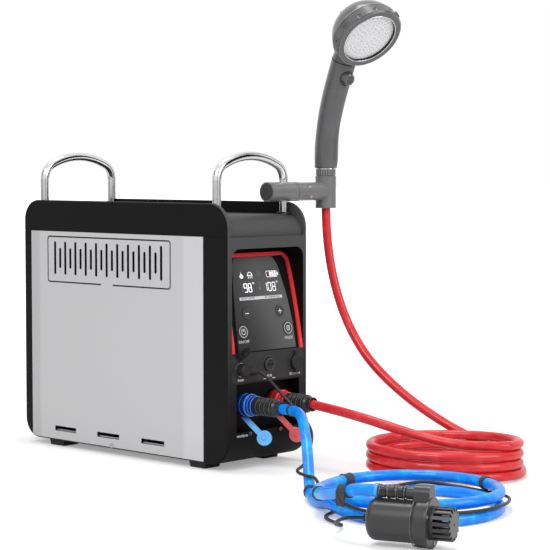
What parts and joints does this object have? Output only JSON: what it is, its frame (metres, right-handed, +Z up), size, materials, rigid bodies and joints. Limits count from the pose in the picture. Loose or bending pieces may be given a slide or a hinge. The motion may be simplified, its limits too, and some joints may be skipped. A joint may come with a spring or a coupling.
{
  "type": "portable water heater",
  "caption": "Portable gas water heater in a carry case with a digital console, quick hose couplers, a clamp-on hand shower and a submersible pump on coiled hoses.",
  "frame": {"origin": "on the ground in the middle of the heater's four feet", "axes": "-Y towards the console, +X to the shower holder's side, +Z up"},
  "size_m": [0.4542, 0.8339, 0.5495],
  "materials": {
    "front_housing": "satin moulded",
    "rear_cover": "satin moulded",
    "base_pan": "galvanised sheet",
    "left_side_panel": "silver powder coat",
    "right_side_panel": "silver powder coat",
    "top_cap": "satin moulded",
    "front_handle": "polished stainless",
    "rear_handle": "polished stainless",
    "handle_nuts": "brushed",
    "feet": "matt rubber",
    "control_panel": "satin printed film",
    "accent_strip": "gloss",
    "minus_button": "satin",
    "plus_button": "satin",
    "power_button": "satin",
    "mode_button": "satin",
    "port_plate": "satin moulded",
    "panel_sockets": "brushed",
    "fuse_cap": "satin",
    "charge_socket_cap": "matt rubber",
    "pump_socket_cap": "matt rubber",
    "water_nipples": "machined",
    "inlet_lock_ring": "gloss",
    "outlet_lock_ring": "gloss",
    "inlet_coupler": "satin",
    "outlet_coupler": "gloss",
    "inlet_stopper": "silicone",
    "outlet_stopper": "silicone",
    "gas_inlet": "machined",
    "battery_pack": "shrink sleeve",
    "display_board": "circuit board",
    "control_board": "circuit board",
    "fan_housing": "satin moulded",
    "fan_rotor": "satin",
    "combustion_chamber": "galvanised sheet",
    "burner": "brushed",
    "heat_exchanger": "tinned copper",
    "exhaust_hood": "galvanised sheet",
    "gas_valve": "machined",
    "igniter_electrode": "brushed",
    "flow_sensor": "satin",
    "water_pipes": "tinned copper",
    "holder_clamp": "satin",
    "holder_socket": "satin",
    "hose_nut": "satin",
    "shower_handle": "satin",
    "stop_button": "satin",
    "shower_head": "satin",
    "spray_bezel": "satin",
    "spray_plate": "gloss",
    "pump_body": "satin",
    "pump_collar": "satin",
    "strainer_basket": "satin",
    "pump_impeller": "satin",
    "power_plug": "matt rubber",
    "red_hose": "soft sheen",
    "red_hose_coil": "soft sheen",
    "blue_hose": "soft sheen",
    "blue_hose_coil": "soft sheen",
    "pump_cable": "soft sheen"
  },
  "bodies": {
    "heater": {"front_housing": "front_housing", "rear_cover": "rear_cover", "base_pan": "base_pan", "left_side_panel": "left_side_panel", "right_side_panel": "right_side_panel", "top_cap": "top_cap", "front_handle": "front_handle", "rear_handle": "rear_handle", "handle_nuts": "handle_nuts", "feet": "feet", "control_panel": "control_panel", "accent_strip": "accent_strip", "port_plate": "port_plate", "panel_sockets": "panel_sockets", "water_nipples": "water_nipples", "inlet_coupler": "inlet_coupler", "outlet_coupler": "outlet_coupler", "gas_inlet": "gas_inlet", "battery_pack": "battery_pack", "display_board": "display_board", "control_board": "control_board", "fan_housing": "fan_housing", "combustion_chamber": "combustion_chamber", "burner": "burner", "heat_exchanger": "heat_exchanger", "exhaust_hood": "exhaust_hood", "gas_valve": "gas_valve", "igniter_electrode": "igniter_electrode", "flow_sensor": "flow_sensor", "water_pipes": "water_pipes", "holder_clamp": "holder_clamp", "holder_socket": "holder_socket", "pump_body": "pump_body", "pump_collar": "pump_collar", "power_plug": "power_plug", "red_hose": "red_hose", "red_hose_coil": "red_hose_coil", "blue_hose": "blue_hose", "blue_hose_coil": "blue_hose_coil", "pump_cable": "pump_cable"},
    "fan_rotor": {"fan_rotor": "fan_rotor"},
    "pump_impeller": {"pump_impeller": "pump_impeller"},
    "strainer_basket": {"strainer_basket": "strainer_basket"},
    "minus_button": {"minus_button": "minus_button"},
    "plus_button": {"plus_button": "plus_button"},
    "power_button": {"power_button": "power_button"},
    "mode_button": {"mode_button": "mode_button"},
    "fuse_cap": {"fuse_cap": "fuse_cap"},
    "charge_socket_cap": {"charge_socket_cap": "charge_socket_cap"},
    "pump_socket_cap": {"pump_socket_cap": "pump_socket_cap"},
    "inlet_lock_ring": {"inlet_lock_ring": "inlet_lock_ring"},
    "outlet_lock_ring": {"outlet_lock_ring": "outlet_lock_ring"},
    "inlet_stopper": {"inlet_stopper": "inlet_stopper"},
    "outlet_stopper": {"outlet_stopper": "outlet_stopper"},
    "hose_nut": {"hose_nut": "hose_nut"},
    "stop_button": {"stop_button": "stop_button"},
    "spray_bezel": {"spray_bezel": "spray_bezel"},
    "handset": {"shower_handle": "shower_handle", "shower_head": "shower_head", "spray_plate": "spray_plate"}
  },
  "joints": [
    {"name": "minus_press", "type": "slide", "parent": "heater", "child": "minus_button", "axis": [0, 0.9789, -0.2043], "range_m": [0, 0.0008], "stiffness_N_per_m": 300, "springref_m": -0.0006},
    {"name": "plus_press", "type": "slide", "parent": "heater", "child": "plus_button", "axis": [0, 0.9789, -0.2043], "range_m": [0, 0.0008], "stiffness_N_per_m": 300, "springref_m": -0.0006},
    {"name": "power_press", "type": "slide", "parent": "heater", "child": "power_button", "axis": [0, 0.9848, -0.1735], "range_m": [0, 0.0008], "stiffness_N_per_m": 300, "springref_m": -0.0006},
    {"name": "mode_press", "type": "slide", "parent": "heater", "child": "mode_button", "axis": [0, 0.9848, -0.1735], "range_m": [0, 0.0008], "stiffness_N_per_m": 300, "springref_m": -0.0006},
    {"name": "fuse_cap_turn", "type": "hinge", "parent": "heater", "child": "fuse_cap", "pos_m": [0.0005, -0.182, 0.121], "axis": [0, -1, 0], "range_deg": [0, 90]},
    {"name": "charge_cap_swing", "type": "hinge", "parent": "heater", "child": "charge_socket_cap", "pos_m": [0.0466, -0.184, 0.1325], "axis": [-1, 0, 0], "range_deg": [0, 100]},
    {"name": "pump_cap_swing", "type": "hinge", "parent": "heater", "child": "pump_socket_cap", "pos_m": [-0.0475, -0.1846, 0.128], "axis": [1, 0, 0], "range_deg": [0, 50]},
    {"name": "inlet_ring_pull", "type": "slide", "parent": "heater", "child": "inlet_lock_ring", "axis": [0, -1, 0], "range_m": [0, 0.003], "stiffness_N_per_m": 300, "springref_m": -0.001},
    {"name": "outlet_ring_pull", "type": "slide", "parent": "heater", "child": "outlet_lock_ring", "axis": [0, -1, 0], "range_m": [0, 0.003], "stiffness_N_per_m": 300, "springref_m": -0.001},
    {"name": "inlet_stopper_swing", "type": "hinge", "parent": "heater", "child": "inlet_stopper", "pos_m": [-0.027, -0.17, 0.075], "axis": [0, 1, 0], "range_deg": [-12, 12]},
    {"name": "outlet_stopper_swing", "type": "hinge", "parent": "heater", "child": "outlet_stopper", "pos_m": [0.027, -0.17, 0.075], "axis": [0, 1, 0], "range_deg": [-12, 12]},
    {"name": "hose_nut_lift", "type": "slide", "parent": "heater", "child": "hose_nut", "axis": [0, 0, 1], "range_m": [0, 0.025]},
    {"name": "handset_turn", "type": "hinge", "parent": "hose_nut", "child": "handset", "pos_m": [0.1334, -0.1535, 0.3502], "axis": [0, 0, 1], "range_deg": [-60, 60]},
    {"name": "stop_press", "type": "slide", "parent": "handset", "child": "stop_button", "axis": [0.1731, 0.8904, 0.421], "range_m": [0, 0.003], "stiffness_N_per_m": 400, "springref_m": -0.001},
    {"name": "bezel_turn", "type": "hinge", "parent": "handset", "child": "spray_bezel", "pos_m": [0.11711, -0.23733, 0.503], "axis": [-0.1395, -0.7179, -0.682], "range_deg": [-30, 30]},
    {"name": "strainer_twist", "type": "hinge", "parent": "heater", "child": "strainer_basket", "pos_m": [-0.232, -0.6092, 0.024], "axis": [0.3305, -0.9438, 0], "range_deg": [0, 30]},
    {"name": "impeller_spin", "type": "hinge", "parent": "heater", "child": "pump_impeller", "pos_m": [-0.23663, -0.59599, 0.024], "axis": [0.3305, -0.9438, 0], "continuous": true},
    {"name": "fan_spin", "type": "hinge", "parent": "heater", "child": "fan_rotor", "pos_m": [0, 0.095, 0.02], "axis": [0, 0, 1], "continuous": true}
  ]
}
